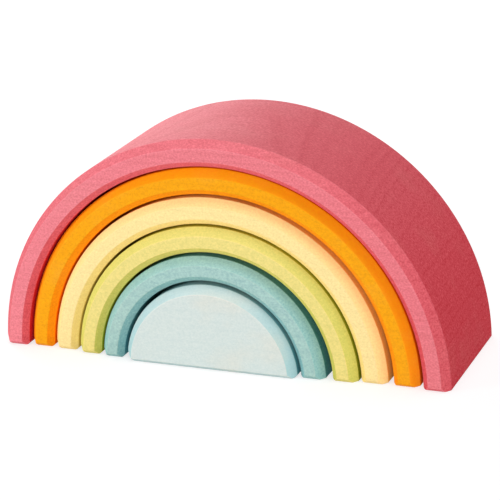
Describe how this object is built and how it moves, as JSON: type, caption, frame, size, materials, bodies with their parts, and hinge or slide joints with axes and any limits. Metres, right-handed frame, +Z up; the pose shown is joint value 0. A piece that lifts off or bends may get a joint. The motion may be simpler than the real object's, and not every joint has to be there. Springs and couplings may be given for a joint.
{
  "type": "rainbow stacker",
  "caption": "Wooden rainbow stacker: loose half-ring arches with chamfered edges, each stained its own colour, nest round a solid half disc for stacking and building.",
  "frame": {"origin": "middle of the footprint, on the surface that the toy stands on", "axes": "+X across the rainbow to the viewer's right, +Y from the front faces to the back, +Z up"},
  "size_m": [0.1699, 0.0644, 0.0835],
  "materials": {
    "pink_stain": "translucent water stain over bare lime wood, satin",
    "orange_stain": "translucent water stain over bare lime wood, satin",
    "yellow_stain": "translucent water stain over bare lime wood, satin",
    "green_stain": "translucent water stain over bare lime wood, satin",
    "teal_stain": "translucent water stain over bare lime wood, satin",
    "blue_stain": "translucent water stain over bare lime wood, satin"
  },
  "bodies": {
    "pink_arch": {"pink_arch": "pink_stain"},
    "orange_arch": {"orange_arch": "orange_stain"},
    "yellow_arch": {"yellow_arch": "yellow_stain"},
    "green_arch": {"green_arch": "green_stain"},
    "teal_arch": {"teal_arch": "teal_stain"},
    "half_disc": {"half_disc": "blue_stain"}
  },
  "joints": [
    {"name": "orange_slide", "type": "slide", "parent": "pink_arch", "child": "orange_arch", "axis": [0, 1, 0], "range_m": [-0.07, 0.07]},
    {"name": "yellow_slide", "type": "slide", "parent": "pink_arch", "child": "yellow_arch", "axis": [0, 1, 0], "range_m": [-0.07, 0.07]},
    {"name": "green_slide", "type": "slide", "parent": "pink_arch", "child": "green_arch", "axis": [0, 1, 0], "range_m": [-0.07, 0.07]},
    {"name": "teal_slide", "type": "slide", "parent": "pink_arch", "child": "teal_arch", "axis": [0, 1, 0], "range_m": [-0.07, 0.07]},
    {"name": "disc_slide", "type": "slide", "parent": "pink_arch", "child": "half_disc", "axis": [0, 1, 0], "range_m": [-0.07, 0.07]}
  ]
}
